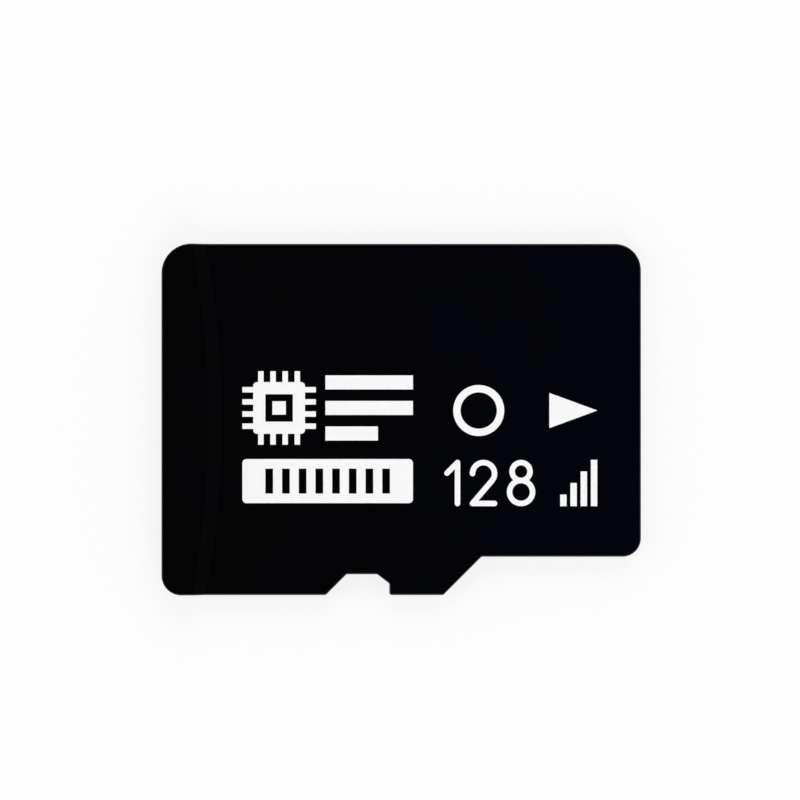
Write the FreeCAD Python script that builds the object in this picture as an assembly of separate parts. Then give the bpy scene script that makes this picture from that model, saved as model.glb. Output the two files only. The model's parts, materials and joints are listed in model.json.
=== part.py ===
import FreeCAD, Part
import math
import os

Vector = FreeCAD.Vector
UP = Vector(0, 0, 1)

# Millimetres. X runs from the rear edge to the contact end, Y from the notched edge to the straight edge,
# Z from the contact face up to the label face. The origin is under the middle of the card.

# Card outline
card_length = 15.0
card_width = 11.0
body_thickness = 0.7           # contact face to label face
step_depth = 1.2               # the contact end is narrower by this much
step_foot_from_end = 6.19      # contact end to where the 45 degree slope leaves the notched edge
tooth_length = 1.69            # between the slope's foot and the notch
notch_length = 1.34            # notch floor, from its wall to its 45 degree slope
notch_depth = 0.65
notch_clip_length = 0.38       # clipped corner between the notch's wall and floor
notch_clip_depth = 0.29
rear_straight_radius = 0.93
rear_notched_radius = 0.62
front_straight_radius = 0.82
front_step_radius = 0.58
rim_radius = 0.05              # rounding all along the label face's rim
corner_margin = 0.03           # the outline's small corners are rounder than the rim by this much

# Thumb ridge along the rear edge
ridge_height = 0.3
ridge_length = 1.84            # rear edge to the slope's foot, on the centre line
ridge_arc_radius = 30.0
ridge_slope_length = 0.34
ridge_blend_radius = 0.12

# Board
mask_thickness = 0.02
core_thickness = 0.14
copper_thickness = 0.015
window_margin = 0.08           # mask opening around fingers and lands

# Contacts, from the step side on
contact_kinds = ("signal", "signal", "signal", "power", "signal", "power", "signal", "signal")
contact_pitch = 1.1
contact_gap = 0.3              # between neighbouring contacts
contact_length = 2.9
contact_from_end = 1.1
power_contact_lead = 0.3       # power contacts are longer, so they meet the socket first
contact_front_radius = 0.2
contact_rear_radius = 0.06
contact_recess = 0.006         # contact face to the gold
via_radius = 0.06
via_inset = 0.25               # contact's rear end to its vias
via_spacing = 0.36

# Memory dies
side_cover = 0.4               # moulding around the dies
top_cover = 0.18               # moulding over the bond wires' loops
film_thickness = 0.02
die_ledge = 0.4                # the upper die is set back by this much
memory_wire_count = 14
memory_wire_margin = 0.6       # die side to its first bond pad
upper_wire_clearance = 0.04    # upper wires land beside the lower ones' balls

# Controller
finger_gap = 0.45              # die edge to bond finger
finger_length = 0.3
finger_width = 0.12
finger_row_gap = 0.5           # memory fingers to controller fingers
controller_length = 2.0
controller_width = 2.6
controller_thickness = 0.12
controller_edge_gap = 2.0      # straight edge to the controller
front_cover = 1.25             # last bond fingers to the contact end
controller_wire_count = 9
controller_wire_margin = 0.25

# Bond wires
wire_radius = 0.012
wire_facets = 8
pad_inset = 0.12               # die edge to bond pad
ball_radius = 0.03
ball_height = 0.015
neck_rise = 0.06               # straight part above the ball
loop_rise = 0.1                # top of the loop above the die
loop_crest = 0.35              # where the loop is highest, along its span

# Chip capacitors and resistors
passive_kinds = ("capacitor", "capacitor", "resistor")
passive_rows = 2
passive_pitch = 1.0
passive_row_pitch = 1.0
passive_length = 0.6
passive_width = 0.3
passive_heights = {"capacitor": 0.3, "resistor": 0.23}
end_cap_length = 0.15
end_cap_wall = 0.015
solder_thickness = 0.015
passive_bay_gap = 0.85         # memory fingers to the first passive
passive_edge_gap = 0.45        # moulding's cover to the first row

# Front print
ink_thickness = 0.012
print_rear_margin = 0.68       # ridge foot to the marks on the left
print_end_margin = 1.37        # contact end to the arrow's tip
print_right_length = 4.79      # from the figures' left to the arrow's tip
print_gap = 0.98               # between the left and right marks
mark_height_above_middle = 0.36
panel_below_middle = 1.93
chip_side = 1.62
chip_corner_radius = 0.12
chip_window = 0.86
chip_core = 0.42
leg_count = 4
leg_length = 0.34
leg_width = 0.17
leg_pitch = 0.38
line_gap = 0.3                 # chip sign to the lines beside it
line_height = 0.44
line_shares = (1.0, 1.0, 0.6)  # of the room beside the chip sign
line_pitch = 0.8
panel_height = 1.38
panel_radius = 0.13
slot_width = 0.24
slot_margin = 0.3              # slots to the panel's long edges
slot_end_margin = 0.72         # first and last slot to the panel's ends
ring_radius = 0.8
ring_width = 0.23
ring_from_left = 1.08          # figures' left to the ring's centre
arrow_length = 1.5
arrow_height = 1.1
sign_above_middle = 0.28       # ring and arrow
figure_height = 1.45
figure_stroke = 0.17
figure_below_middle = 1.99
one_width = 0.5
two_width = 0.86
eight_bias = 0.04              # how much the lower ring's radius gains on the upper one's
figure_gap = 0.3
level_count = 4
level_width = 0.2
level_pitch = 0.32

# Places that follow from the sizes above
rear_x = -card_length / 2
end_x = card_length / 2
straight_y = card_width / 2
notched_y = -card_width / 2
step_y = notched_y + step_depth
core_bottom = mask_thickness
core_top = core_bottom + core_thickness
copper_top = core_top + copper_thickness
board_top = core_top + mask_thickness
ridge_foot_x = rear_x + ridge_length
memory_finger_room = finger_gap + finger_length
controller_room = 2 * (finger_length + finger_gap) + controller_length
bay_x = end_x - front_cover - controller_room - finger_row_gap - memory_finger_room
memory_die_thickness = (body_thickness - top_cover - loop_rise - board_top) / 2 - film_thickness
upper_wire_offset = ball_radius + wire_radius + upper_wire_clearance
small_radius = rim_radius + corner_margin
contact_count = len(contact_kinds)
contact_width = contact_pitch - contact_gap
contact_row_y = (straight_y + step_y) / 2
inner_low_y = max(step_y, notched_y + notch_depth) + side_cover
inner_high_y = straight_y - side_cover
touch = 1e-4


def rounded_wire(corners, z):
    """A closed outline from (x, y, radius) corners, each rounded by an arc."""
    bends = []
    for index, (x, y, radius) in enumerate(corners):
        here = Vector(x, y, z)
        before = Vector(*corners[index - 1][:2], z)
        after = Vector(*corners[(index + 1) % len(corners)][:2], z)
        incoming = (here - before).normalize()
        outgoing = (after - here).normalize()
        half_turn = incoming.getAngle(outgoing) / 2
        reach = radius * math.tan(half_turn)
        inward = (outgoing - incoming).normalize()
        middle = here + inward * (radius / math.cos(half_turn) - radius)
        bends.append((here - incoming * reach, middle, here + outgoing * reach, radius))
    edges = []
    for index, (start, middle, end, radius) in enumerate(bends):
        edges.append(Part.LineSegment(bends[index - 1][2], start).toShape())
        if radius:
            edges.append(Part.Arc(start, middle, end).toShape())
    return Part.Wire(edges)


def prism(corners, z, height):
    return Part.Face(rounded_wire(corners, z)).extrude(UP * height)


def rectangle(x0, y0, x1, y1, radius=0):
    return [(x0, y0, radius), (x1, y0, radius), (x1, y1, radius), (x0, y1, radius)]


def block(x0, y0, z0, x1, y1, z1):
    return Part.makeBox(x1 - x0, y1 - y0, z1 - z0, Vector(x0, y0, z0))


def spread(first, last, count):
    """Evenly spaced places from first to last."""
    return [first + (last - first) * index / (count - 1) for index in range(count)]


def card_corners():
    """The keyed outline, round from the rear corner on the notched side."""
    step_foot_x = end_x - step_foot_from_end
    wall_x = step_foot_x - tooth_length
    floor_y = notched_y + notch_depth
    slope_x = wall_x - notch_length
    return [
        (rear_x, notched_y, rear_notched_radius),
        (slope_x - notch_depth, notched_y, small_radius),
        (slope_x, floor_y, small_radius),
        (wall_x - notch_clip_length, floor_y, small_radius),
        (wall_x, floor_y - notch_clip_depth, small_radius),
        (wall_x, notched_y, small_radius),
        (step_foot_x, notched_y, small_radius),
        (step_foot_x + step_depth, step_y, small_radius),
        (end_x, step_y, front_step_radius),
        (end_x, straight_y, front_straight_radius),
        (rear_x, straight_y, rear_straight_radius),
    ]


def ridge_profile():
    """A disc whose upper side is the label face and the ridge, turned about the ridge's arc centre."""
    axis_x = ridge_foot_x - ridge_arc_radius
    ridge_top = body_thickness + ridge_height
    near_x = rear_x - card_width
    far_x = end_x + card_width
    corners = [
        (near_x, 0, 0),
        (far_x, 0, 0),
        (far_x, body_thickness, 0),
        (ridge_foot_x, body_thickness, ridge_blend_radius),
        (ridge_foot_x - ridge_slope_length, ridge_top, ridge_blend_radius),
        (near_x, ridge_top, 0),
    ]
    section = Part.Face(rounded_wire(corners, 0))
    section.rotate(Vector(0, 0, 0), Vector(1, 0, 0), 90)
    return section.revolve(Vector(axis_x, 0, 0), UP, 360)


def moulding_outside():
    """The moulding from the board's core up, with its ridge and rounded rim."""
    column = prism(card_corners(), core_top, body_thickness + 2 * ridge_height)
    body = column.common(ridge_profile()).Solids[0]
    outline = rounded_wire(card_corners(), 0)
    rim = []
    for edge in body.Edges:
        middle = edge.valueAt((edge.FirstParameter + edge.LastParameter) / 2)
        over_outline = outline.distToShape(Part.Vertex(middle.x, middle.y, 0))[0] < touch
        if over_outline and middle.z > body_thickness - touch:
            rim.append(edge)
    return body.makeFillet(rim_radius, rim)


def contact_outline(number):
    """A contact's outline, rounder towards the contact end; number 1 is on the step side."""
    lead = power_contact_lead if contact_kinds[number - 1] == "power" else 0
    y = contact_row_y + (number - (contact_count + 1) / 2) * contact_pitch
    front_x = end_x - contact_from_end + lead
    rear = end_x - contact_from_end - contact_length
    low_y = y - contact_width / 2
    high_y = y + contact_width / 2
    return [
        (rear, low_y, contact_rear_radius),
        (front_x, low_y, contact_front_radius),
        (front_x, high_y, contact_front_radius),
        (rear, high_y, contact_rear_radius),
    ]


def contact_vias():
    """Two plated vias at each contact's rear end, up through the core."""
    x = end_x - contact_from_end - contact_length + via_inset
    vias = []
    for number in range(1, contact_count + 1):
        y = contact_row_y + (number - (contact_count + 1) / 2) * contact_pitch
        for side in (-1, 1):
            foot = Vector(x, y + side * via_spacing / 2, core_bottom)
            vias.append(Part.makeCylinder(via_radius, core_thickness, foot))
    return vias


def finger_row(x, places):
    """Bond fingers side by side, starting at x."""
    half = finger_width / 2
    return [block(x, y - half, core_top, x + finger_length, y + half, copper_top) for y in places]


def row_window(x, places):
    """The mask opening over a row of fingers."""
    reach = finger_width / 2 + window_margin
    return block(x - window_margin, places[0] - reach, core_top,
                 x + finger_length + window_margin, places[-1] + reach, board_top)


def wire_sections(start, end):
    """The wire's eight-sided sections, from its ball on a die pad to its end on a finger."""
    run = Vector(end.x - start.x, end.y - start.y, 0)
    span = run.Length
    along = run.normalize()
    across = UP.cross(along)
    neck_z = start.z + neck_rise
    path = [(0, start.z + ball_height), (0, neck_z), (span * loop_crest, start.z + loop_rise), (span, end.z)]
    sides = []
    for (s0, z0), (s1, z1) in zip(path, path[1:]):
        length = math.hypot(s1 - s0, z1 - z0)
        sides.append(((z1 - z0) / length, (s0 - s1) / length))
    slants = [(1, 0)]
    for (a_s, a_z), (b_s, b_z) in zip(sides, sides[1:]):
        scale = 1 + a_s * b_s + a_z * b_z
        slants.append(((a_s + b_s) / scale, (a_z + b_z) / scale))
    slants.append((1 / sides[-1][0], 0))
    rings = [(path[0][0], start.z, (1, 0), ball_radius), (*path[0], (1, 0), ball_radius)]
    rings += [(s, z, slant, wire_radius) for (s, z), slant in zip(path, slants)]
    sections = []
    for s, z, (slant_s, slant_z), radius in rings:
        middle = start + along * s
        middle.z = z
        tilt = along * slant_s + UP * slant_z
        section = []
        for index in range(wire_facets):
            angle = 2 * math.pi * (index + 0.5) / wire_facets
            section.append(middle + (across * math.cos(angle) + tilt * math.sin(angle)) * radius)
        sections.append(section)
    return sections


def polygon_face(points):
    return Part.Face(Part.makePolygon(points + points[:1]))


def bond_wire(start, end):
    """A ball-bonded wire as a closed solid of flat faces."""
    sections = wire_sections(start, end)
    foot, ball_rim, neck = sections[:3]
    shoulder = polygon_face(ball_rim).cut(polygon_face(neck))
    faces = [polygon_face(foot), shoulder.Faces[0], polygon_face(sections[-1])]
    bands = [(foot, ball_rim), *zip(sections[2:], sections[3:])]
    for lower, upper in bands:
        for index in range(wire_facets):
            following = (index + 1) % wire_facets
            faces.append(polygon_face([lower[index], lower[following], upper[following], upper[index]]))
    shell = Part.makeShell(faces)
    shell.sewShape()
    solid = Part.makeSolid(shell)
    if solid.Volume < 0:
        solid.reverse()
    return solid


def memory_stack():
    """Both memory dies with their films, fingers, window and wires."""
    pieces = {}
    low_y = inner_low_y
    high_y = inner_high_y
    upper_rear_x = rear_x + side_cover
    die_length = bay_x - die_ledge - upper_rear_x
    lower_film_top = board_top + film_thickness
    lower_top = lower_film_top + memory_die_thickness
    upper_film_top = lower_top + film_thickness
    upper_top = upper_film_top + memory_die_thickness
    lower_rear_x = upper_rear_x + die_ledge
    upper_front_x = upper_rear_x + die_length
    pieces["lower_die_film"] = block(lower_rear_x, low_y, board_top, bay_x, high_y, lower_film_top)
    pieces["lower_memory_die"] = block(lower_rear_x, low_y, lower_film_top, bay_x, high_y, lower_top)
    pieces["upper_die_film"] = block(upper_rear_x, low_y, lower_top, upper_front_x, high_y, upper_film_top)
    pieces["upper_memory_die"] = block(upper_rear_x, low_y, upper_film_top, upper_front_x, high_y, upper_top)
    places = spread(low_y + memory_wire_margin, high_y - memory_wire_margin, memory_wire_count)
    finger_x = bay_x + finger_gap
    landing_x = finger_x + finger_length / 2
    wires = []
    for y in places:
        lower_pad = Vector(bay_x - pad_inset, y, lower_top)
        wires.append(bond_wire(lower_pad, Vector(landing_x, y, copper_top)))
        beside = y + upper_wire_offset
        upper_pad = Vector(upper_front_x - pad_inset, beside, upper_top)
        wires.append(bond_wire(upper_pad, Vector(bay_x - pad_inset, beside, lower_top)))
    pieces["memory_bond_wires"] = wires
    return pieces, finger_row(finger_x, places), [row_window(finger_x, places)]


def controller_stack():
    """The controller with its film, the fingers on both sides of it, their windows and wires."""
    pieces = {}
    left_finger_x = bay_x + finger_gap + finger_length + finger_row_gap
    rear = left_finger_x + finger_length + finger_gap
    front = rear + controller_length
    right_finger_x = front + finger_gap
    high_y = straight_y - controller_edge_gap
    low_y = high_y - controller_width
    film_top = board_top + film_thickness
    die_top = film_top + controller_thickness
    pieces["controller_film"] = block(rear, low_y, board_top, front, high_y, film_top)
    pieces["controller_die"] = block(rear, low_y, film_top, front, high_y, die_top)
    places = spread(low_y + controller_wire_margin, high_y - controller_wire_margin, controller_wire_count)
    half_finger = finger_length / 2
    wires = []
    for y in places:
        left_pad = Vector(rear + pad_inset, y, die_top)
        wires.append(bond_wire(left_pad, Vector(left_finger_x + half_finger, y, copper_top)))
        right_pad = Vector(front - pad_inset, y, die_top)
        wires.append(bond_wire(right_pad, Vector(right_finger_x + half_finger, y, copper_top)))
    pieces["controller_bond_wires"] = wires
    fingers = finger_row(left_finger_x, places) + finger_row(right_finger_x, places)
    return pieces, fingers, [row_window(left_finger_x, places), row_window(right_finger_x, places)]


def passive_parts():
    """Rows of chip capacitors and resistors with end caps, solder, lands and mask windows."""
    pieces = {}
    end_caps = []
    solder = []
    lands = []
    windows = []
    counts = {}
    seat_z = copper_top + solder_thickness
    first_x = bay_x + finger_gap + finger_length + passive_bay_gap
    first_y = inner_low_y + passive_edge_gap
    for row in range(passive_rows):
        for column, kind in enumerate(passive_kinds):
            x0 = first_x + column * passive_pitch
            y0 = first_y + row * passive_row_pitch
            x1 = x0 + passive_length
            y1 = y0 + passive_width
            top = seat_z + passive_heights[kind]
            wall = end_cap_wall
            body = block(x0 + wall, y0 + wall, seat_z + wall, x1 - wall, y1 - wall, top - wall)
            counts[kind] = counts.get(kind, 0) + 1
            pieces[f"{kind}_{counts[kind]}"] = body
            for near in (x0, x1 - end_cap_length):
                far = near + end_cap_length
                end_caps.append(block(near, y0, seat_z, far, y1, top).cut(body))
                solder.append(block(near, y0, copper_top, far, y1, seat_z))
                lands.append(block(near, y0, core_top, far, y1, copper_top))
            windows.append(block(x0 - window_margin, y0 - window_margin, core_top,
                                 x1 + window_margin, y1 + window_margin, board_top))
    pieces["passive_end_caps"] = end_caps
    pieces["solder_joints"] = solder
    return pieces, lands, windows


def ink(face):
    return face.extrude(UP * ink_thickness)


def ink_block(x0, y0, x1, y1, radius=0):
    return prism(rectangle(x0, y0, x1, y1, radius), body_thickness, ink_thickness)


def ink_stroke(edges):
    """A figure's stroke of even width with round ends, along a path."""
    return ink(Part.Wire(edges).makeOffset2D(figure_stroke / 2, fill=True))


def ink_ring(x, y, radius, width):
    """A ring given by its outer radius."""
    middle = Vector(x, y, body_thickness)
    return Part.makeCylinder(radius, ink_thickness, middle).cut(
        Part.makeCylinder(radius - width, ink_thickness, middle))


def chip_sign(x, y):
    """A plain chip sign: a square frame with legs on its four sides and a small square inside."""
    half = chip_side / 2
    body = ink_block(x - half, y - half, x + half, y + half, chip_corner_radius)
    legs = []
    half_leg = leg_width / 2
    reach = half + leg_length
    row = leg_pitch * (leg_count - 1) / 2
    for place in spread(-row, row, leg_count):
        legs.append(ink_block(x + place - half_leg, y - reach, x + place + half_leg, y + reach))
        legs.append(ink_block(x - reach, y + place - half_leg, x + reach, y + place + half_leg))
    half_window = chip_window / 2
    window = ink_block(x - half_window, y - half_window, x + half_window, y + half_window)
    frame = body.fuse(legs).cut(window).removeSplitter()
    half_core = chip_core / 2
    core = ink_block(x - half_core, y - half_core, x + half_core, y + half_core)
    return [frame, core]


def left_print():
    """The chip sign with lines beside it, over a panel with a row of slots."""
    left_x = ridge_foot_x + print_rear_margin
    right_x = end_x - print_end_margin - print_right_length - print_gap
    reach = chip_side / 2 + leg_length
    marks = chip_sign(left_x + reach, mark_height_above_middle)
    line_x = left_x + 2 * reach + line_gap
    line_room = right_x - line_x
    half_line = line_height / 2
    for index, share in enumerate(line_shares):
        y = mark_height_above_middle + line_pitch * ((len(line_shares) - 1) / 2 - index)
        marks.append(ink_block(line_x, y - half_line, line_x + line_room * share, y + half_line))
    half_panel = panel_height / 2
    panel = ink_block(left_x, -panel_below_middle - half_panel,
                      right_x, -panel_below_middle + half_panel, panel_radius)
    half_slot = slot_width / 2
    slot_reach = half_panel - slot_margin
    end_reach = slot_end_margin + half_slot
    for x in spread(left_x + end_reach, right_x - end_reach, contact_count):
        panel = panel.cut(ink_block(x - half_slot, -panel_below_middle - slot_reach,
                                    x + half_slot, -panel_below_middle + slot_reach))
    marks.append(panel)
    return marks


def figure_one(x, low, high):
    """The figure one, from x on, between the stroke's lowest and highest middle, and its width."""
    stem_x = x + one_width - figure_stroke
    flag = Vector(x, high - (stem_x - x), body_thickness)
    top = Vector(stem_x, high, body_thickness)
    foot = Vector(stem_x, low, body_thickness)
    stroke = ink_stroke([Part.LineSegment(flag, top).toShape(), Part.LineSegment(top, foot).toShape()])
    return stroke, one_width


def figure_two(x, low, high):
    """The figure two: an arc over the top, its tangent down to the foot, and the foot."""
    radius = (two_width - figure_stroke) / 2
    middle = Vector(x + radius, high - radius, body_thickness)
    heel = Vector(x, low, body_thickness)
    toe = Vector(x + 2 * radius, low, body_thickness)
    drop = heel - middle
    leave = math.atan2(drop.y, drop.x) + math.acos(radius / drop.Length)
    tangent = middle + Vector(math.cos(leave), math.sin(leave), 0) * radius
    arc = Part.Arc(middle - Vector(radius, 0, 0), middle + Vector(0, radius, 0), tangent)
    stroke = ink_stroke([arc.toShape(), Part.LineSegment(tangent, heel).toShape(),
                         Part.LineSegment(heel, toe).toShape()])
    return stroke, two_width


def figure_eight(x, low, high):
    """The figure eight: two rings that share their strokes where they meet."""
    half = figure_stroke / 2
    lower_radius = (high - low) / 4 + eight_bias
    upper_radius = (high - low) / 4 - eight_bias
    middle_x = x + lower_radius
    lower = ink_ring(middle_x, low + lower_radius, lower_radius + half, figure_stroke)
    upper = ink_ring(middle_x, high - upper_radius, upper_radius + half, figure_stroke)
    return lower.fuse(upper).removeSplitter(), 2 * lower_radius + figure_stroke


def right_print():
    """The ring and the arrow over the figures and the rising level bars."""
    tip_x = end_x - print_end_margin
    left_x = tip_x - print_right_length
    marks = [ink_ring(left_x + ring_from_left, sign_above_middle, ring_radius, ring_width)]
    base_x = tip_x - arrow_length
    half = arrow_height / 2
    arrow = [(base_x, sign_above_middle - half, 0), (tip_x, sign_above_middle, 0),
             (base_x, sign_above_middle + half, 0)]
    marks.append(prism(arrow, body_thickness, ink_thickness))
    low = -figure_below_middle - (figure_height - figure_stroke) / 2
    high = low + figure_height - figure_stroke
    x = left_x + figure_stroke / 2
    for figure in (figure_one, figure_two, figure_eight):
        stroke, width = figure(x, low, high)
        marks.append(stroke)
        x += width + figure_gap
    foot_y = -figure_below_middle - figure_height / 2
    for index in range(level_count):
        right = tip_x - (level_count - 1 - index) * level_pitch
        top_y = foot_y + figure_height * (index + 1) / level_count
        marks.append(ink_block(right - level_width, foot_y, right, top_y))
    return marks


def as_list(piece):
    return piece if isinstance(piece, list) else [piece]


def build():
    """Every piece by its name."""
    memory, memory_fingers, memory_windows = memory_stack()
    controller, controller_fingers, controller_windows = controller_stack()
    passives, lands, passive_windows = passive_parts()
    chips = {**memory, **controller, **passives}
    vias = contact_vias()
    contacts = [contact_outline(number) for number in range(1, contact_count + 1)]
    windows = memory_windows + controller_windows + passive_windows

    pieces = {}
    core = prism(card_corners(), core_bottom, core_thickness)
    pieces["board_core"] = core.cut(vias)
    pieces["contact_vias"] = vias
    contact_openings = [prism(outline, 0, mask_thickness) for outline in contacts]
    pieces["contact_side_mask"] = prism(card_corners(), 0, mask_thickness).cut(contact_openings)
    for number, outline in enumerate(contacts, 1):
        pieces[f"contact_{number}"] = prism(outline, contact_recess, mask_thickness - contact_recess)
    chip_side_mask = prism(card_corners(), core_top, mask_thickness).cut(windows)
    pieces["chip_side_mask"] = chip_side_mask
    board_copper = memory_fingers + controller_fingers + lands
    pieces["board_copper"] = board_copper
    pieces.update(chips)
    enclosed = [chip_side_mask] + board_copper
    for piece in chips.values():
        enclosed += as_list(piece)
    pieces["moulded_body"] = moulding_outside().cut(enclosed)
    pieces["front_print"] = left_print() + right_print()
    return pieces


os.makedirs("parts", exist_ok=True)
for name, piece in build().items():
    shape = Part.makeCompound(piece) if isinstance(piece, list) else piece
    shape.exportStep(os.path.join("parts", name + ".step"))
    print(name, len(shape.Solids), "solids", round(shape.Volume, 4), "mm3", shape.isValid())
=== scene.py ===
import json
import math

import bmesh
import bpy
from mathutils import Matrix, Vector
from mathutils.geometry import delaunay_2d_cdt

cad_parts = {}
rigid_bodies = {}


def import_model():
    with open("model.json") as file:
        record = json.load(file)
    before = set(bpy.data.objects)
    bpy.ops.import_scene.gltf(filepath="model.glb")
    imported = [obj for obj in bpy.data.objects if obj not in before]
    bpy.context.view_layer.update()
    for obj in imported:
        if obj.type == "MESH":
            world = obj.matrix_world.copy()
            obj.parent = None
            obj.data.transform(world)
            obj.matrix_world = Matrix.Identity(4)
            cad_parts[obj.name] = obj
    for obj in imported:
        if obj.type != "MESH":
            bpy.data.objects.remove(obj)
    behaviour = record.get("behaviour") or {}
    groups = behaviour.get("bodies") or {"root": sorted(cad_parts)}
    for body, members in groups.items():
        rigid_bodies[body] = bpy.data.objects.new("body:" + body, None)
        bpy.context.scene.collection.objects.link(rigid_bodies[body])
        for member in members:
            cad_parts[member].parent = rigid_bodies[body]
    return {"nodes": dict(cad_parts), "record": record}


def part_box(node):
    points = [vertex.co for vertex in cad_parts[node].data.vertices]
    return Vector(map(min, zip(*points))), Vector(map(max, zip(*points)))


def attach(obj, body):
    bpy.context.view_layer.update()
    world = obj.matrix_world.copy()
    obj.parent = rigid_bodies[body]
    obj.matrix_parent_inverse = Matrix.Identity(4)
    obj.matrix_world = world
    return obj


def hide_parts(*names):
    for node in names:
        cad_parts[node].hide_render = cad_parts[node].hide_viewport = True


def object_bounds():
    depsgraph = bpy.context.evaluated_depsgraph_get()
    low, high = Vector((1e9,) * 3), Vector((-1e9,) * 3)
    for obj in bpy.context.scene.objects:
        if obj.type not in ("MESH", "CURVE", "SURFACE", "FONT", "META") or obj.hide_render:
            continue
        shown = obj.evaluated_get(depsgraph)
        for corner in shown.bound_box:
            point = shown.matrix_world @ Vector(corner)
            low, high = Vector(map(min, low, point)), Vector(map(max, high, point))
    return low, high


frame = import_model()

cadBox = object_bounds()
cadNodes = frame["nodes"]
scene = bpy.context.scene
mm = 0.001
nearly = 0.001                      # a share this small counts as none
weld = 0.0001 * mm                  # points nearer than this are one
fillWeld = weld / 10                # and while an outline is filled
sharpAngle = math.radians(30)
noiseDetail = 3
noiseSpan = (0.3, 0.7)              # where most of a noise's values lie
print("frame loaded:", len(cadNodes), "nodes")


# Short ways to wire up shader and geometry trees
def addNode(tree, kind, inputs=None, **settings):
    node = tree.nodes.new(kind)
    for name, value in settings.items():
        setattr(node, name, value)
    for key, value in (inputs or {}).items():
        if isinstance(value, bpy.types.NodeSocket):
            tree.links.new(value, node.inputs[key])
        else:
            node.inputs[key].default_value = value
    return node


def mathNode(tree, operation, *values):
    return addNode(tree, "ShaderNodeMath", dict(enumerate(values)), operation=operation).outputs[0]


def splitVector(tree, vector):
    return addNode(tree, "ShaderNodeSeparateXYZ", {0: vector}).outputs


def joinVector(tree, **parts):
    return addNode(tree, "ShaderNodeCombineXYZ", parts).outputs[0]


def fit(tree, value, fromRange, toRange):
    limits = {"From Min": fromRange[0], "From Max": fromRange[1],
              "To Min": toRange[0], "To Max": toRange[1]}
    return addNode(tree, "ShaderNodeMapRange", {"Value": value, **limits}).outputs["Result"]


def ramp(tree, factor, stops):
    node = addNode(tree, "ShaderNodeValToRGB", {"Fac": factor})
    elements = node.color_ramp.elements
    while len(elements) < len(stops):
        elements.new(0.5)           # moved to its own place below
    for element, (position, colour) in zip(elements, stops):
        element.position = position
        element.color = (*colour, 1)
    return node.outputs["Color"]


def shades(tree, factor, colours):
    last = len(colours) - 1
    return ramp(tree, factor, [(index / last, colour) for index, colour in enumerate(colours)])


# Patterns on a piece's own coordinates, in grains of a size; stretch lengthens them along x, y, z
def ownPlace(tree, size, stretch=(1, 1, 1)):
    place = addNode(tree, "ShaderNodeTexCoord").outputs["Object"]
    scale = [1 / (size * part) for part in stretch]
    return addNode(tree, "ShaderNodeMapping", {"Vector": place, "Scale": scale}).outputs["Vector"]


def grain(tree, size, stretch=(1, 1, 1)):
    return addNode(tree, "ShaderNodeTexNoise",
                   {"Vector": ownPlace(tree, size, stretch), "Scale": 1,
                    "Detail": noiseDetail}).outputs["Fac"]


def grainBetween(tree, toRange, size, stretch=(1, 1, 1)):
    return fit(tree, grain(tree, size, stretch), noiseSpan, toRange)


def pebbles(tree, size, softness):
    return addNode(tree, "ShaderNodeTexVoronoi",
                   {"Vector": ownPlace(tree, size), "Scale": 1, "Smoothness": softness},
                   feature="SMOOTH_F1").outputs["Distance"]


def dress(name, look, colour, roughness, height):
    # A finish from three makers, each given the tree: colour, roughness and relief height
    finish = bpy.data.materials.new(name)
    finish.use_nodes = True
    tree = finish.node_tree
    shader = tree.nodes["Principled BSDF"]
    shader.inputs["Metallic"].default_value = look.get("metallic", 0)
    shader.inputs["Specular IOR Level"].default_value = look.get("specular", 0.5)
    tree.links.new(colour(tree), shader.inputs["Base Color"])
    tree.links.new(roughness(tree), shader.inputs["Roughness"])
    relief = {"Height": height(tree), "Distance": look["depth"], "Strength": 1}
    tree.links.new(addNode(tree, "ShaderNodeBump", relief).outputs["Normal"], shader.inputs["Normal"])
    return finish


def evenFinish(name, look):
    stretch = look.get("stretch", (1, 1, 1))
    return dress(
        name, look,
        lambda tree: shades(
            tree, grainBetween(tree, (0, 1), look["cloudSize"], stretch), look["colours"]),
        lambda tree: grainBetween(tree, look["roughness"], look["grainSize"], stretch),
        lambda tree: grain(tree, look["grainSize"], stretch))


# Black filled epoxy as the mould leaves it: pebbled, with a painted bluish sheen that grows towards the
# contact end
mouldLook = {
    "colours": ((0.0008, 0.0008, 0.0011), (0.0008, 0.001, 0.0021), (0.0007, 0.0013, 0.0036)),
    "paintedSheenReach": (0.0, 0.85),       # along the colours, from the ridge to the contact end: a painted bluish sheen, neutral at the ridge
    "cloudShare": (-0.2, 0.2),
    "cloudSize": 3 * mm,
    "pebbleSize": 0.07 * mm,
    "pebbleSoftness": 0.6,
    "grainSize": 0.03 * mm,
    "roughness": (0.3, 0.42),
    "specular": 0.022,
    "depth": 0.002 * mm,
}


def mouldColour(tree):
    along = splitVector(tree, addNode(tree, "ShaderNodeTexCoord").outputs["Object"])["X"]
    # Painted sheen: the colour turns bluer from the ridge towards the contact end
    paintedSheen = fit(tree, along, (cadBox[0][0], cadBox[1][0]), mouldLook["paintedSheenReach"])
    cloud = grainBetween(tree, mouldLook["cloudShare"], mouldLook["cloudSize"])
    return shades(tree, mathNode(tree, "ADD", paintedSheen, cloud), mouldLook["colours"])


def mouldHeight(tree):
    bumps = pebbles(tree, mouldLook["pebbleSize"], mouldLook["pebbleSoftness"])
    return mathNode(tree, "ADD", bumps, grain(tree, mouldLook["grainSize"]))


mouldedEpoxy = dress(
    "mouldedEpoxy", mouldLook, mouldColour,
    lambda tree: grainBetween(tree, mouldLook["roughness"], mouldLook["grainSize"]),
    mouldHeight)

# The same epoxy where the outline was cut: upright cutting marks and bare specks of filler
cutLook = {
    "colours": ((0.006, 0.006, 0.0065), (0.011, 0.011, 0.0115), (0.03, 0.03, 0.03)),
    "speckSize": 0.025 * mm,
    "speckSpan": (0.35, 0.8),
    "markSize": 0.02 * mm,
    "markStretch": (1, 1, 14),
    "roughness": (0.5, 0.66),
    "specular": 0.35,
    "depth": 0.003 * mm,
}


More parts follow.
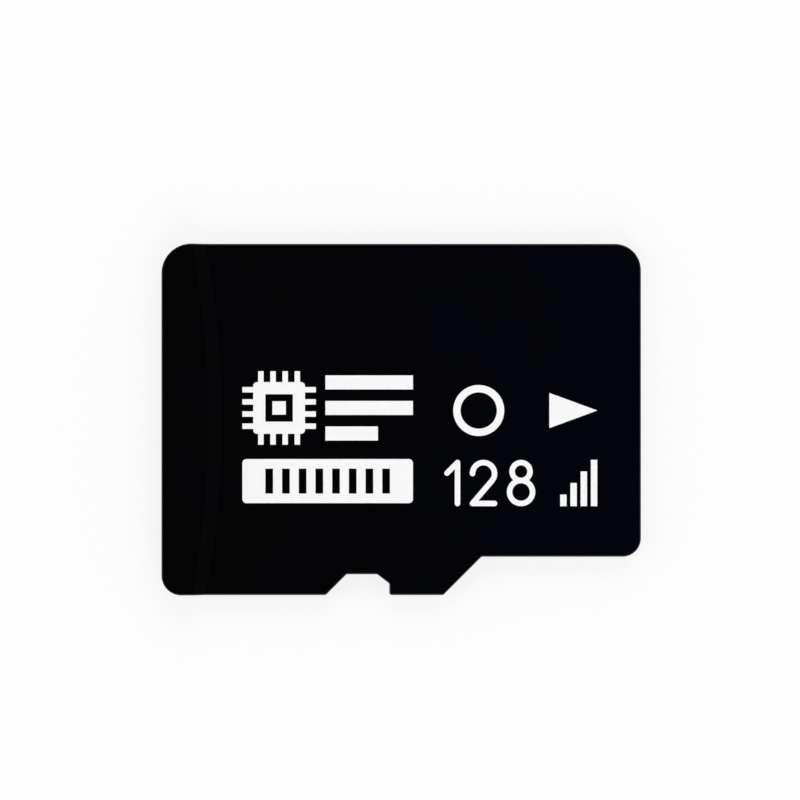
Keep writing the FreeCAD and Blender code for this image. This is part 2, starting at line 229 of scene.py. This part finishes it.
def cutColour(tree):
    specks = fit(tree, grain(tree, cutLook["speckSize"]), cutLook["speckSpan"], (0, 1))
    return shades(tree, specks, cutLook["colours"])


cutEpoxy = dress(
    "cutEpoxy", cutLook, cutColour,
    lambda tree: grainBetween(tree, cutLook["roughness"], cutLook["markSize"]),
    lambda tree: grain(tree, cutLook["markSize"], cutLook["markStretch"]))

# And along the label face's rim, rubbed a little smoother, and painted paler as an edge highlight
rimLook = {
    # these paler colours are a painted highlight along the rim
    "colours": ((0.002, 0.002, 0.0022), (0.004, 0.004, 0.0044)),
    "cloudSize": 0.2 * mm,
    "grainSize": 0.03 * mm,
    "roughness": (0.26, 0.36),
    "specular": 0.3,
    "depth": 0.0008 * mm,
}
rimEpoxyPaintedHighlight = evenFinish("rimEpoxyPaintedHighlight", rimLook)

# White screen ink, a little uneven, with the screen's fine weave in its surface
inkLook = {
    "colours": ((0.91, 0.915, 0.92), (0.95, 0.95, 0.95)),
    "cloudSize": 0.5 * mm,
    "weaveSize": 0.06 * mm,
    "roughness": (0.5, 0.66),
    "specular": 0.12,
    "depth": 0.0012 * mm,
}


def inkWeave(tree):
    turns = splitVector(tree, ownPlace(tree, inkLook["weaveSize"] / math.tau))
    warp = mathNode(tree, "SINE", turns["X"])
    weft = mathNode(tree, "SINE", turns["Y"])
    threads = mathNode(tree, "MULTIPLY", warp, weft)
    return mathNode(tree, "ADD", threads, grain(tree, inkLook["weaveSize"]))


printedInk = dress(
    "printedInk", inkLook,
    lambda tree: shades(tree, grain(tree, inkLook["cloudSize"]), inkLook["colours"]),
    lambda tree: grainBetween(tree, inkLook["roughness"], inkLook["weaveSize"]),
    inkWeave)

# The board's cut edge: glass plies in brown resin
laminateLook = {
    "colours": ((0.03, 0.024, 0.01), (0.06, 0.048, 0.022), (0.15, 0.13, 0.075)),
    "plySize": 0.024 * mm,
    "plyStretch": (8, 8, 1),
    "plySpan": (0.3, 0.72),
    "roughness": (0.5, 0.7),
    "depth": 0.003 * mm,
}


def plies(tree):
    return grain(tree, laminateLook["plySize"], laminateLook["plyStretch"])


def plyColour(tree):
    return shades(tree, fit(tree, plies(tree), laminateLook["plySpan"], (0, 1)), laminateLook["colours"])


glassLaminate = dress(
    "glassLaminate", laminateLook, plyColour,
    lambda tree: grainBetween(tree, laminateLook["roughness"], laminateLook["plySize"]),
    plies)

# Board, contacts and what the moulding encloses; stretch follows rolling, grinding or insertion
innerLooks = {
    "mask": {
        "finish": "solderMask", "colours": ((0.0035, 0.004, 0.0048), (0.006, 0.0066, 0.0078)),
        "cloudSize": 1.5 * mm, "grainSize": 0.12 * mm, "roughness": (0.24, 0.36), "depth": 0.0015 * mm,
    },
    "contact_gold": {
        "finish": "contactGold", "colours": ((0.86, 0.56, 0.2), (0.97, 0.69, 0.3)), "metallic": 1,
        "cloudSize": 0.3 * mm, "grainSize": 0.02 * mm, "roughness": (0.2, 0.34), "depth": 0.0004 * mm,
        "stretch": (12, 1, 1),
    },
    "copper": {
        "finish": "platedCopper", "colours": ((0.74, 0.38, 0.2), (0.9, 0.55, 0.36)), "metallic": 1,
        "cloudSize": 0.2 * mm, "grainSize": 0.02 * mm, "roughness": (0.28, 0.45), "depth": 0.0006 * mm,
    },
    "silicon": {
        "finish": "groundSilicon", "colours": ((0.09, 0.1, 0.12), (0.17, 0.18, 0.21)), "metallic": 0.5,
        "cloudSize": 0.5 * mm, "grainSize": 0.02 * mm, "roughness": (0.18, 0.34), "depth": 0.0004 * mm,
        "stretch": (1, 20, 1),
    },
    "die_film": {
        "finish": "dieFilm", "colours": ((0.45, 0.32, 0.12), (0.6, 0.46, 0.22)),
        "cloudSize": 0.4 * mm, "grainSize": 0.05 * mm, "roughness": (0.4, 0.6), "depth": 0.001 * mm,
    },
    "bond_gold": {
        "finish": "wireGold", "colours": ((0.9, 0.62, 0.24), (1.0, 0.76, 0.36)), "metallic": 1,
        "cloudSize": 0.1 * mm, "grainSize": 0.01 * mm, "roughness": (0.15, 0.3), "depth": 0.0003 * mm,
    },
    "capacitor_ceramic": {
        "finish": "brownCeramic", "colours": ((0.3, 0.19, 0.1), (0.45, 0.31, 0.19)),
        "cloudSize": 0.1 * mm, "grainSize": 0.02 * mm, "roughness": (0.5, 0.7), "depth": 0.002 * mm,
    },
    "resistor_ceramic": {
        "finish": "whiteCeramic", "colours": ((0.62, 0.62, 0.6), (0.82, 0.82, 0.8)),
        "cloudSize": 0.1 * mm, "grainSize": 0.02 * mm, "roughness": (0.4, 0.6), "depth": 0.001 * mm,
    },
    "tin": {
        "finish": "tinPlate", "colours": ((0.62, 0.62, 0.6), (0.78, 0.78, 0.76)), "metallic": 1,
        "cloudSize": 0.05 * mm, "grainSize": 0.015 * mm, "roughness": (0.35, 0.5), "depth": 0.001 * mm,
    },
    "solder": {
        "finish": "brightSolder", "colours": ((0.56, 0.57, 0.58), (0.74, 0.75, 0.76)), "metallic": 1,
        "cloudSize": 0.05 * mm, "grainSize": 0.03 * mm, "roughness": (0.18, 0.35), "depth": 0.001 * mm,
    },
}
finishes = {slot: evenFinish(look["finish"], look) for slot, look in innerLooks.items()}
finishes.update(moulding=mouldedEpoxy, ink=printedInk, laminate=glassLaminate)
for part in frame["record"]["subparts"]:
    node = cadNodes[part["node"]]
    node.data.materials.clear()
    node.data.materials.append(finishes[part["material_slot"]])
edgeFinishes = (cutEpoxy, rimEpoxyPaintedHighlight)
print("finishes made:", len(finishes) + len(edgeFinishes))

# Outline of the card, from the rear corner on the notched side round to the straight side
card = {
    "stepDepth": 1.2 * mm,
    "stepFootFromEnd": 6.19 * mm,
    "toothLength": 1.69 * mm,       # between the step's slope and the notch
    "notchLength": 1.34 * mm,
    "notchDepth": 0.65 * mm,
    "notchClip": (0.38 * mm, 0.29 * mm),
    "rearNotchedRadius": 0.62 * mm,
    "endStepRadius": 0.58 * mm,
    "endStraightRadius": 0.82 * mm,
    "rearStraightRadius": 0.93 * mm,
    "smallRadius": 0.08 * mm,
    "degreesPerFacet": 4,
}


def cardCorners():
    (rearX, notchedY, _), (endX, straightY, _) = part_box("board_core")
    stepFootX = endX - card["stepFootFromEnd"]
    wallX = stepFootX - card["toothLength"]
    slopeX = wallX - card["notchLength"]
    floorY = notchedY + card["notchDepth"]
    clipX, clipY = card["notchClip"]
    small = card["smallRadius"]
    return [
        (rearX, notchedY, card["rearNotchedRadius"]),
        (slopeX - card["notchDepth"], notchedY, small),
        (slopeX, floorY, small),
        (wallX - clipX, floorY, small),
        (wallX, floorY - clipY, small),
        (wallX, notchedY, small),
        (stepFootX, notchedY, small),
        (stepFootX + card["stepDepth"], notchedY + card["stepDepth"], small),
        (endX, notchedY + card["stepDepth"], card["endStepRadius"]),
        (endX, straightY, card["endStraightRadius"]),
        (rearX, straightY, card["rearStraightRadius"]),
    ]


def roundedLoop(corners):
    # (point, outward normal) pairs round an outline of (x, y, radius) corners, counter-clockwise
    loop = []
    for index, (x, y, radius) in enumerate(corners):
        here = Vector((x, y))
        incoming = (here - Vector(corners[index - 1][:2])).normalized()
        outgoing = (Vector(corners[(index + 1) % len(corners)][:2]) - here).normalized()
        turn = math.atan2(incoming.cross(outgoing), incoming.dot(outgoing))
        bend = math.copysign(radius, turn)
        normal = Vector((incoming.y, -incoming.x))
        middle = here - incoming * radius * math.tan(abs(turn) / 2) - normal * bend
        facets = math.ceil(math.degrees(abs(turn)) / card["degreesPerFacet"])
        for facet in range(facets + 1):
            outward = Matrix.Rotation(turn * facet / facets, 2) @ normal
            loop.append((middle + outward * bend, outward))
    return loop


def fillLoops(solids, holes=(), edges=()):
    # Triangles over the solid outlines, less the holes; edges are runs of points to keep as edges
    points = []
    rings = []
    runs = []
    for ring in (*solids, *holes):
        rings.append(list(range(len(points), len(points) + len(ring))))
        points += ring
    for run in edges:
        runs += [(len(points) + step, len(points) + step + 1) for step in range(len(run) - 1)]
        points += run
    insideOnly = 1
    flat, _, faces, _, _, owners = delaunay_2d_cdt(points, runs, rings, insideOnly, fillWeld)
    return flat, [face for face, within in zip(faces, owners) if max(within) < len(solids)]


def mergePoints(mesh):
    merged = bmesh.new()
    merged.from_mesh(mesh)
    bmesh.ops.remove_doubles(merged, verts=merged.verts, dist=weld)
    merged.to_mesh(mesh)
    merged.free()


def makePiece(name, points, faces, finish):
    mesh = bpy.data.meshes.new(name)
    mesh.from_pydata(points, [], faces)
    mergePoints(mesh)
    mesh.materials.append(finish)
    mesh.shade_smooth()
    mesh.set_sharp_from_angle(angle=sharpAngle)
    piece = bpy.data.objects.new(name, mesh)
    scene.collection.objects.link(piece)
    return piece


def makePlate(name, loop, rows, finish, topEdges=()):
    # A plate from its outline and its (inset, height) rows, from the bottom up
    count = len(loop)
    points = [(*(point - outward * inset), z) for inset, z in rows for point, outward in loop]
    faces = []
    for row in range(len(rows) - 1):
        for index in range(count):
            following = (index + 1) % count
            faces.append((row * count + index, row * count + following,
                          (row + 1) * count + following, (row + 1) * count + index))
    for (inset, z), edges, step in ((rows[-1], topEdges, 1), (rows[0], (), -1)):
        flat, triangles = fillLoops([[point - outward * inset for point, outward in loop]], edges=edges)
        first = len(points)
        points += [(x, y, z) for x, y in flat]
        faces += [[first + corner for corner in triangle[::step]] for triangle in triangles]
    return makePiece(name, points, faces, finish)


def makeLayer(name, solids, holes, lowZ, highZ, finish):
    flat, faces = fillLoops(solids, holes)
    count = len(flat)
    points = [(x, y, highZ) for x, y in flat] + [(x, y, lowZ) for x, y in flat]
    rims = {(face[corner - 1], face[corner]) for face in faces for corner in range(3)}
    walls = [(start + count, end + count, end, start) for start, end in rims if (end, start) not in rims]
    under = [[corner + count for corner in reversed(face)] for face in faces]
    return makePiece(name, points, faces + under + walls, finish)


def newTree(name, **sockets):
    tree = bpy.data.node_groups.new(name, "GeometryNodeTree")
    tree.interface.new_socket("Geometry", in_out="INPUT", socket_type="NodeSocketGeometry")
    for socket, kind in sockets.items():
        tree.interface.new_socket(socket, in_out="INPUT", socket_type="NodeSocket" + kind)
    tree.interface.new_socket("Geometry", in_out="OUTPUT", socket_type="NodeSocketGeometry")
    return tree, addNode(tree, "NodeGroupInput").outputs


def bakePiece(piece):
    # What the modifiers make becomes the piece's own plain mesh
    baked = piece.evaluated_get(bpy.context.evaluated_depsgraph_get())
    mesh = bpy.data.meshes.new_from_object(baked)
    piece.modifiers.clear()
    piece.data = mesh


def growPiece(piece, tree, **sizes):
    modifier = piece.modifiers.new(tree.name, "NODES")
    modifier.node_group = tree
    for socket in tree.interface.items_tree:
        if socket.in_out == "INPUT" and socket.name in sizes:
            modifier[socket.identifier] = sizes[socket.name]
    bakePiece(piece)


def settle(piece, slot, *replaced):
    if replaced:
        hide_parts(*replaced)
    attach(piece, "root")
    print(piece.name + ":", len(piece.data.polygons), "faces")


# Moulded body: a plate with a rounded rim, and a thumb ridge that the tree raises along the rear edge
body = {
    "rimRadius": 0.05 * mm,
    "rimRows": 6,
    "rimHold": 0.02 * mm,           # keeps the label face flat up to the rim
    "ridgeLength": 1.84 * mm,       # rear edge to the slope's foot, on the middle line
    "ridgeArcRadius": 30 * mm,
    "slopeLength": 0.34 * mm,
    "ridgeBlend": 0.05 * mm,
    "blendRows": 8,
    "blendMargin": 1.1,             # the fine rows reach a little past the blends
    "arcFacets": 48,
    "finishBelow": (                # set in turn, where a face looks up less than this
        ("Face", 2.0), ("Rim", 0.99), ("Edge", 0.05),
    ),
    "encloses": ("die", "film", "wires", "capacitor", "resistor", "end_caps", "solder"),
}


def ridgeTree():
    tree, given = newTree("raiseRidge", AxisX="Float", FootRadius="Float", Slope="Float", Height="Float",
                          Blend="Float", FromZ="Float", Face="Material", Rim="Material", Edge="Material")
    normal = splitVector(tree, addNode(tree, "GeometryNodeInputNormal").outputs[0])
    flatPlate = addNode(tree, "GeometryNodeCaptureAttribute", domain="FACE")
    flatPlate.capture_items.new("FLOAT", "Tilt")
    tree.links.new(given["Geometry"], flatPlate.inputs["Geometry"])
    tree.links.new(normal["Z"], flatPlate.inputs["Tilt"])
    place = splitVector(tree, addNode(tree, "GeometryNodeInputPosition").outputs[0])
    fromAxis = joinVector(tree, X=mathNode(tree, "SUBTRACT", place["X"], given["AxisX"]), Y=place["Y"])
    reach = addNode(tree, "ShaderNodeVectorMath", {0: fromAxis}, operation="LENGTH").outputs["Value"]
    behindFoot = mathNode(tree, "SUBTRACT", given["FootRadius"], reach)
    climb = mathNode(tree, "MULTIPLY", behindFoot, given["Slope"])
    foot = mathNode(tree, "SMOOTH_MAX", climb, 0.0, given["Blend"])
    rise = mathNode(tree, "SMOOTH_MIN", foot, given["Height"], given["Blend"])
    upper = mathNode(tree, "GREATER_THAN", place["Z"], given["FromZ"])
    raised = addNode(tree, "GeometryNodeSetPosition",
                     {"Geometry": flatPlate.outputs["Geometry"], "Selection": upper,
                      "Offset": joinVector(tree, Z=rise)}).outputs[0]
    coated = addNode(tree, "GeometryNodeRealizeInstances", {"Geometry": raised}).outputs[0]
    for finish, limit in body["finishBelow"]:
        below = mathNode(tree, "LESS_THAN", flatPlate.outputs["Tilt"], limit)
        coated = addNode(tree, "GeometryNodeSetMaterial",
                         {"Geometry": coated, "Selection": below, "Material": given[finish]}).outputs[0]
    addNode(tree, "NodeGroupOutput", {"Geometry": coated})
    return tree


def ridgeRadii(slope):
    # Fine rows of points along the ridge's two blends, as radii about the middle of its arc
    reach = body["blendMargin"] * body["ridgeBlend"] / slope
    foot = body["ridgeArcRadius"]
    radii = []
    for bend in (foot, foot - body["slopeLength"]):
        for row in range(body["blendRows"] + 1):
            radii.append(bend + reach * (2 * row / body["blendRows"] - 1))
    return radii


def ridgeArcs(axisX, innerY, radii):
    # Those rows across the label face
    arcs = []
    for radius in radii:
        reach = math.asin(innerY / radius)
        arc = []
        for facet in range(body["arcFacets"] + 1):
            angle = reach * (2 * facet / body["arcFacets"] - 1)
            arc.append(Vector((axisX + radius * math.cos(angle), radius * math.sin(angle))))
        arcs.append(arc)
    return arcs


def splitLongEdges(corners, longY, crossings):
    # The outline with more points on its two long edges, where the rows meet them
    loop = []
    for index, (point, outward) in enumerate(corners):
        loop.append((point, outward))
        following = corners[(index + 1) % len(corners)][0]
        if 1 - abs(outward.y) < nearly and abs(abs(point.y) - longY) < nearly * mm:
            low, high = sorted((point.x, following.x))
            met = sorted((x for x in crossings if low < x < high), reverse=following.x < point.x)
            loop += [(Vector((x, point.y)), outward) for x in met]
    return loop


def hollowBody(piece):
    # Room for the dies, films, wires and passives, cut with merged copies of their nodes
    pockets = bpy.data.collections.new("pockets")
    for name, node in cadNodes.items():
        if any(word in name for word in body["encloses"]):
            mesh = node.data.copy()
            mergePoints(mesh)
            pockets.objects.link(bpy.data.objects.new(name + ".pocket", mesh))
    scene.collection.children.link(pockets)
    cut = piece.modifiers.new("pockets", "BOOLEAN")
    cut.operand_type = "COLLECTION"
    cut.collection = pockets
    cut.solver = "EXACT"
    bakePiece(piece)
    for pocket in list(pockets.objects):
        bpy.data.objects.remove(pocket)
    bpy.data.collections.remove(pockets)


def makeBody():
    (rearX, _, _), (_, straightY, topZ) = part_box("moulded_body")
    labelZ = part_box("front_print")[0][2]
    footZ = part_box("chip_side_mask")[1][2]
    rim = body["rimRadius"]
    rows = [(0, footZ)]
    for row in range(body["rimRows"] + 1):
        angle = math.pi / 2 * row / body["rimRows"]
        rows.append((rim * (1 - math.cos(angle)), labelZ - rim * (1 - math.sin(angle))))
    rows.append((rim + body["rimHold"], labelZ))

    axisX = rearX + body["ridgeLength"] - body["ridgeArcRadius"]
    slope = (topZ - labelZ) / body["slopeLength"]
    innerY = straightY - rim - body["rimHold"]
    radii = ridgeRadii(slope)
    crossings = [axisX + math.sqrt(radius ** 2 - innerY ** 2) for radius in radii]
    loop = splitLongEdges(roundedLoop(cardCorners()), straightY, crossings)
    piece = makePlate("mouldedBody", loop, rows, mouldedEpoxy, ridgeArcs(axisX, innerY, radii))
    growPiece(piece, ridgeTree(), AxisX=axisX, FootRadius=body["ridgeArcRadius"], Slope=slope,
              Height=topZ - labelZ, Blend=body["ridgeBlend"], FromZ=(footZ + labelZ - rim) / 2,
              Face=mouldedEpoxy, Rim=rimEpoxyPaintedHighlight, Edge=cutEpoxy)
    hollowBody(piece)
    settle(piece, "moulding", "moulded_body")


makeBody()

# Contacts: one plated pad with a softened edge, repeated along the row; the power pads reach further out
contacts = {
    "power": (4, 6),                # counted from the step side
    "frontRadius": 0.2 * mm,
    "rearRadius": 0.06 * mm,
    "edgeRadius": 0.005 * mm,
    "edgeRows": 3,
}
contactNames = sorted(name for name in cadNodes if name.startswith("contact_") and name[-1].isdigit())


def contactCorners(name):
    (rearX, lowY, _), (frontX, highY, _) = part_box(name)
    front, rear = contacts["frontRadius"], contacts["rearRadius"]
    return [(rearX, lowY, rear), (frontX, lowY, front), (frontX, highY, front), (rearX, highY, rear)]


def contactTree():
    tree, given = newTree("contactRow", Count="Int", Pitch="Float", Lead="Float", MiddleX="Float",
                          FirstPower="Int", SecondPower="Int", Metal="Material")
    line = addNode(tree, "GeometryNodeMeshLine",
                   {"Count": given["Count"], "Offset": joinVector(tree, Y=given["Pitch"])}).outputs[0]
    index = addNode(tree, "GeometryNodeInputIndex").outputs[0]
    wholeGap = 0.5                  # whole numbers nearer than this are the same
    first, second = (mathNode(tree, "COMPARE", index, given[socket], wholeGap)
                     for socket in ("FirstPower", "SecondPower"))
    lead = mathNode(tree, "MULTIPLY", mathNode(tree, "ADD", first, second), given["Lead"])
    marked = addNode(tree, "GeometryNodeStoreNamedAttribute",
                     {"Geometry": line, "Name": "lead", "Value": lead}).outputs[0]
    row = addNode(tree, "GeometryNodeInstanceOnPoints",
                  {"Points": marked, "Instance": given["Geometry"]}).outputs[0]
    plain = addNode(tree, "GeometryNodeRealizeInstances", {"Geometry": row}).outputs[0]
    place = splitVector(tree, addNode(tree, "GeometryNodeInputPosition").outputs[0])
    ahead = mathNode(tree, "GREATER_THAN", place["X"], given["MiddleX"])
    stored = addNode(tree, "GeometryNodeInputNamedAttribute", {"Name": "lead"}).outputs["Attribute"]
    forward = joinVector(tree, X=stored)
    reached = addNode(tree, "GeometryNodeSetPosition",
                      {"Geometry": plain, "Selection": ahead, "Offset": forward}).outputs[0]
    clean = addNode(tree, "GeometryNodeRemoveAttribute",
                    {"Geometry": reached, "Name": "lead"}).outputs[0]
    plated = addNode(tree, "GeometryNodeSetMaterial",
                     {"Geometry": clean, "Material": given["Metal"]}).outputs[0]
    addNode(tree, "NodeGroupOutput", {"Geometry": plated})
    return tree


def makeContacts():
    low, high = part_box(contactNames[0])
    edge = contacts["edgeRadius"]
    rows = []
    for row in range(contacts["edgeRows"] + 1):
        angle = math.pi / 2 * row / contacts["edgeRows"]
        rows.append((edge * (1 - math.sin(angle)), low[2] + edge * (1 - math.cos(angle))))
    rows.append((0, high[2]))
    gold = finishes["contact_gold"]
    piece = makePlate("contactRow", roundedLoop(contactCorners(contactNames[0])), rows, gold)
    first, second = (number - 1 for number in contacts["power"])
    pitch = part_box(contactNames[1])[0][1] - low[1]
    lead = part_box(contactNames[first])[1][0] - high[0]
    growPiece(piece, contactTree(), Count=len(contactNames), Pitch=pitch, Lead=lead,
              MiddleX=(low[0] + high[0]) / 2, FirstPower=first, SecondPower=second, Metal=gold)
    settle(piece, "contact_gold", *contactNames)


makeContacts()

# Mask on the contact side, with the board's tracks and covered vias raised a little under it
mask = {
    "viaRise": 0.004 * mm,
    "trackRise": 0.003 * mm,        # lower than a via, whose mound takes in the track's end
    "trackWidth": 0.1 * mm,
    "trackBend": 0.15 * mm,
    "bendFacets": 8,
    "trackPitch": 0.36 * mm,
    "firstRun": 0.5 * mm,           # straight out of a contact before the bend
    "runGain": 0.28 * mm,
    "endX": (-1.2 * mm, -2.1 * mm, -3.0 * mm),
    "viaRadius": 0.14 * mm,
    "viaFacets": 24,
    "crownInset": 0.01 * mm,        # the sides slope in by this much
    "overlap": 0.003 * mm,          # how deep the relief is set into the mask
}


def trackTree():
    tree, given = newTree("maskTracks", Width="Float", Rise="Float", Inset="Float", Bend="Float",
                          BendFacets="Int", ViaRadius="Float", ViaRise="Float", ViaFacets="Int",
                          Coat="Material")
    runs = addNode(tree, "GeometryNodeMeshToCurve", {0: given["Geometry"]}).outputs[0]
    bent = addNode(tree, "GeometryNodeFilletCurve",
                   {"Curve": runs, "Radius": given["Bend"], "Limit Radius": True,
                    "Count": given["BendFacets"]}, mode="POLY").outputs[0]
    upright = addNode(tree, "GeometryNodeSetCurveNormal", {"Curve": bent}, mode="Z_UP").outputs[0]
    bothInsets = mathNode(tree, "ADD", given["Inset"], given["Inset"])
    crown = mathNode(tree, "SUBTRACT", given["Width"], bothInsets)
    section = addNode(tree, "GeometryNodeCurvePrimitiveQuadrilateral",
                      {"Height": given["Rise"], "Bottom Width": given["Width"], "Top Width": crown,
                       "Offset": 0.0}, mode="TRAPEZOID").outputs[0]
    tracks = addNode(tree, "GeometryNodeCurveToMesh",
                     {"Curve": upright, "Profile Curve": section, "Fill Caps": True}).outputs[0]
    viaCrown = mathNode(tree, "SUBTRACT", given["ViaRadius"], given["Inset"])
    cone = addNode(tree, "GeometryNodeMeshCone",
                   {"Vertices": given["ViaFacets"], "Depth": given["ViaRise"],
                    "Radius Bottom": viaCrown, "Radius Top": given["ViaRadius"]}).outputs[0]
    # The crown looks down, and the root is level with the tracks' roots
    halfRise = mathNode(tree, "MULTIPLY", given["Rise"], 0.5)
    drop = mathNode(tree, "SUBTRACT", halfRise, given["ViaRise"])
    tent = addNode(tree, "GeometryNodeTransform",
                   {"Geometry": cone, "Translation": joinVector(tree, Z=drop)}).outputs[0]
    ends = addNode(tree, "GeometryNodeCurveEndpointSelection",
                   {"Start Size": 0, "End Size": 1}).outputs[0]
    vias = addNode(tree, "GeometryNodeInstanceOnPoints",
                   {"Points": upright, "Selection": ends, "Instance": tent}).outputs[0]
    relief = addNode(tree, "GeometryNodeJoinGeometry")
    tree.links.new(tracks, relief.inputs[0])
    tree.links.new(vias, relief.inputs[0])
    plain = addNode(tree, "GeometryNodeRealizeInstances", {"Geometry": relief.outputs[0]}).outputs[0]
    crisp = addNode(tree, "GeometryNodeSetShadeSmooth",
                    {"Geometry": plain, "Shade Smooth": False}).outputs[0]
    coated = addNode(tree, "GeometryNodeSetMaterial",
                     {"Geometry": crisp, "Material": given["Coat"]}).outputs[0]
    addNode(tree, "NodeGroupOutput", {"Geometry": coated})
    return tree


def makeMask():
    low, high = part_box("contact_side_mask")
    outline = [point for point, _ in roundedLoop(cardCorners())]
    windows = [[point for point, _ in roundedLoop(contactCorners(name))] for name in contactNames]
    faceZ = low[2] + mask["viaRise"]
    sheet = makeLayer("contactSideMask", [outline], windows, faceZ, high[2], finishes["mask"])
    settle(sheet, "mask", "contact_side_mask")


def makeTracks():
    # One run per contact: out of its rear end, over to a narrower bundle, and on to its via
    rise = mask["trackRise"] + mask["overlap"]
    viaRise = mask["viaRise"] + mask["overlap"]
    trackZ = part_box("contact_side_mask")[0][2] + viaRise - rise / 2
    count = len(contactNames)
    middleY = sum(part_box(name)[0][1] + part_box(name)[1][1] for name in contactNames) / (2 * count)
    points = []
    edges = []
    for index, name in enumerate(contactNames):
        (rearX, lowY, _), (_, highY, _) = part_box(name)
        fromMiddle = index - (count - 1) / 2
        startY = (lowY + highY) / 2
        endY = middleY + fromMiddle * mask["trackPitch"]
        bendX = rearX - mask["firstRun"] - mask["runGain"] * (count / 2 - abs(fromMiddle))
        endX = mask["endX"][index % len(mask["endX"])]
        startX = rearX - mask["crownInset"]
        run = [(startX, startY), (bendX, startY), (bendX - abs(startY - endY), endY), (endX, endY)]
        edges += [(len(points) + step, len(points) + step + 1) for step in range(len(run) - 1)]
        points += [(x, y, trackZ) for x, y in run]
    mesh = bpy.data.meshes.new("maskTracks")
    mesh.from_pydata(points, edges, [])
    tracks = bpy.data.objects.new("maskTracks", mesh)
    scene.collection.objects.link(tracks)
    growPiece(tracks, trackTree(), Width=mask["trackWidth"], Rise=rise, Inset=mask["crownInset"],
              Bend=mask["trackBend"], BendFacets=mask["bendFacets"], ViaRadius=mask["viaRadius"],
              ViaRise=viaRise, ViaFacets=mask["viaFacets"], Coat=finishes["mask"])
    settle(tracks, "mask")


makeMask()
makeTracks()

# Studio: a white floor, a sky that is bright low down and dark overhead, and soft lamps
studio = {
    "floorReach": 0.6,
    "floorDrop": 0.001 * mm,        # keeps the floor clear of the card's underside
    "floorColour": (0.9, 0.9, 0.9, 1),
    "floorGlow": (0.8, 1.0),        # by the card and far from it
    "floorFade": (0.03, 0.2),
    "sky": (                        # height, level
        (0.0, 1.0), (0.15, 0.85), (0.4, 0.55), (0.75, 0.45), (0.9, 0.1), (1.0, 0.02),
    ),
    "lamps": (
        ("notchedSideLamp", (0.04, -0.24, 0.22), 0.2, 0.36),    # place, size, power
        ("straightSideLamp", (0.04, 0.24, 0.22), 0.2, 0.36),
        ("rearLamp", (-0.26, 0.0, 0.22), 0.2, 0.25),
        ("contactEndLamp", (0.22, 0.0, 0.24), 0.12, 0.12),
    ),
}


def floorFinish():
    # Matt white in the light, and white to the eye and in reflections
    finish = bpy.data.materials.new("floorWhite")
    finish.use_nodes = True
    tree = finish.node_tree
    tree.nodes.clear()
    rays = addNode(tree, "ShaderNodeLightPath").outputs
    mirrored = mathNode(tree, "MAXIMUM", rays["Is Glossy Ray"], rays["Is Transmission Ray"])
    seen = mathNode(tree, "MAXIMUM", rays["Is Camera Ray"], mirrored)
    place = addNode(tree, "ShaderNodeTexCoord").outputs["Object"]
    away = addNode(tree, "ShaderNodeVectorMath", {0: place}, operation="LENGTH").outputs["Value"]
    share = mathNode(tree, "MULTIPLY", seen, fit(tree, away, studio["floorFade"], studio["floorGlow"]))
    matt = addNode(tree, "ShaderNodeBsdfDiffuse", {"Color": studio["floorColour"]})
    glow = addNode(tree, "ShaderNodeEmission", {"Color": (1, 1, 1, 1), "Strength": 1})
    mixed = addNode(tree, "ShaderNodeMixShader", {0: share, 1: matt.outputs[0], 2: glow.outputs[0]})
    addNode(tree, "ShaderNodeOutputMaterial", {"Surface": mixed.outputs[0]})
    return finish


def makeFloor():
    reach = studio["floorReach"]
    z = cadBox[0][2] - studio["floorDrop"]
    mesh = bpy.data.meshes.new("studioFloor")
    mesh.from_pydata([(-reach, -reach, z), (reach, -reach, z), (reach, reach, z), (-reach, reach, z)],
                     [], [(0, 1, 2, 3)])
    mesh.materials.append(floorFinish())
    floor = bpy.data.objects.new("studioFloor", mesh)
    scene.collection.objects.link(floor)


def makeSky():
    world = bpy.data.worlds.new("studioSky")
    world.use_nodes = True
    scene.world = world
    tree = world.node_tree
    height = splitVector(tree, addNode(tree, "ShaderNodeTexCoord").outputs["Generated"])["Z"]
    levels = ramp(tree, height, [(place, (level, level, level)) for place, level in studio["sky"]])
    tree.links.new(levels, tree.nodes["Background"].inputs["Color"])


def addLamp(name, place, size, power):
    light = bpy.data.lights.new(name, "AREA")
    light.size = size
    light.energy = power
    lamp = bpy.data.objects.new(name, light)
    lamp.location = place
    lamp.rotation_euler = Vector(place).to_track_quat("Z", "Y").to_euler()
    scene.collection.objects.link(lamp)


makeFloor()
makeSky()
for lamp in studio["lamps"]:
    addLamp(*lamp)
scene.view_settings.view_transform = "Standard"
print("studio set:", len(studio["lamps"]), "lamps")

# Camera straight above the label face, contact end to the right
photo = {
    "lens": 200,
    "sensor": 36,
    "frameWidth": 25.047 * mm,      # what the picture's width covers on the label face
    "middle": (-0.045 * mm, 0.609 * mm),
    "clipStart": 1 * mm,
}
cameraData = bpy.data.cameras.new("photoCamera")
cameraData.lens = photo["lens"]
cameraData.sensor_width = photo["sensor"]
cameraData.clip_start = photo["clipStart"]
camera = bpy.data.objects.new("photoCamera", cameraData)
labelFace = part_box("front_print")[0][2]
camera.location = (*photo["middle"], labelFace + photo["frameWidth"] * photo["lens"] / photo["sensor"])
scene.collection.objects.link(camera)
scene.camera = camera
print("camera set")
